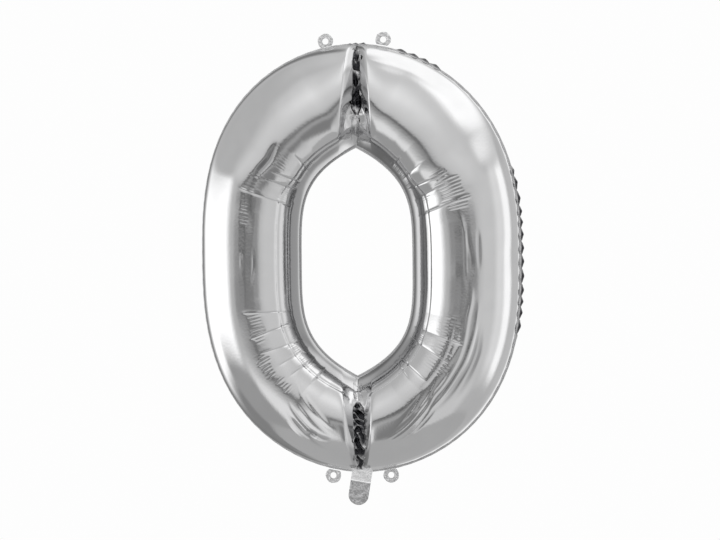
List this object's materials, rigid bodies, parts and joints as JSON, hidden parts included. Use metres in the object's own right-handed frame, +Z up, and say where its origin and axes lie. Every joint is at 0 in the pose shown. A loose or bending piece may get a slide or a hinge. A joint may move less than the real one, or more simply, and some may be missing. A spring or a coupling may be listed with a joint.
{
  "type": "foil number balloon",
  "caption": "Inflated silver foil balloon shaped as the numeral zero, with a welded seam, creased ends, eyelet tabs for a ribbon and a folding neck with a self-sealing valve.",
  "frame": {"origin": "centre of the whole balloon's box, tabs and neck included, in the plane of the seam", "axes": "+Z up the numeral, from the neck to the top tabs; +Y from the front panel to the back panel, so the front faces -Y; +X to the right"},
  "size_m": [0.578, 0.176, 0.8494],
  "materials": {
    "panel_foil": "mirror-bright metallised film, finely wrinkled by the gas pressure",
    "tab_foil": "two layers of metallised film welded flat, crinkled",
    "neck_foil": "thin metallised film, creased and slightly milky",
    "valve_film": "clear polyethylene sheet, satin"
  },
  "bodies": {
    "envelope": {"front_panel": "panel_foil", "back_panel": "panel_foil", "valve_root_front": "valve_film", "valve_root_back": "valve_film"},
    "top_left_tab": {"top_left_tab": "tab_foil"},
    "top_right_tab": {"top_right_tab": "tab_foil"},
    "bottom_left_tab": {"bottom_left_tab": "tab_foil"},
    "bottom_right_tab": {"bottom_right_tab": "tab_foil"},
    "neck_tail": {"neck_tail_front": "neck_foil", "neck_tail_back": "neck_foil"},
    "valve_front": {"valve_flap_front": "valve_film"},
    "valve_back": {"valve_flap_back": "valve_film"}
  },
  "joints": [
    {"name": "top_left_tab_flex", "type": "hinge", "parent": "envelope", "child": "top_left_tab", "pos_m": [-0.05016, 0, 0.40041], "axis": [0.9803, 0, 0.1975], "range_deg": [-80, 80], "stiffness_Nm_per_rad": 0.0002},
    {"name": "top_right_tab_flex", "type": "hinge", "parent": "envelope", "child": "top_right_tab", "pos_m": [0.05016, 0, 0.40041], "axis": [0.9803, 0, -0.1975], "range_deg": [-80, 80], "stiffness_Nm_per_rad": 0.0002},
    {"name": "bottom_left_tab_flex", "type": "hinge", "parent": "envelope", "child": "bottom_left_tab", "pos_m": [-0.05016, 0, -0.36068], "axis": [-0.9803, 0, 0.1975], "range_deg": [-80, 80], "stiffness_Nm_per_rad": 0.0002},
    {"name": "bottom_right_tab_flex", "type": "hinge", "parent": "envelope", "child": "bottom_right_tab", "pos_m": [0.05016, 0, -0.36068], "axis": [-0.9803, 0, -0.1975], "range_deg": [-80, 80], "stiffness_Nm_per_rad": 0.0002},
    {"name": "neck_fold", "type": "hinge", "parent": "envelope", "child": "neck_tail", "pos_m": [-0.00299, 0, -0.38207], "axis": [0.9848, 0, -0.1736], "range_deg": [-90, 90], "stiffness_Nm_per_rad": 0.0005},
    {"name": "valve_front_open", "type": "hinge", "parent": "envelope", "child": "valve_front", "pos_m": [0.00199, -0.00025, -0.35386], "axis": [0.9848, 0, -0.1736], "range_deg": [0, 5], "stiffness_Nm_per_rad": 0.0002},
    {"name": "valve_back_open", "type": "hinge", "parent": "envelope", "child": "valve_back", "pos_m": [0.00199, 0.00025, -0.35386], "axis": [0.9848, 0, -0.1736], "range_deg": [-5, 0], "stiffness_Nm_per_rad": 0.0002}
  ],
  "couplings": [
    {"joint": "valve_back_open", "follows": "valve_front_open", "ratio": -1}
  ]
}
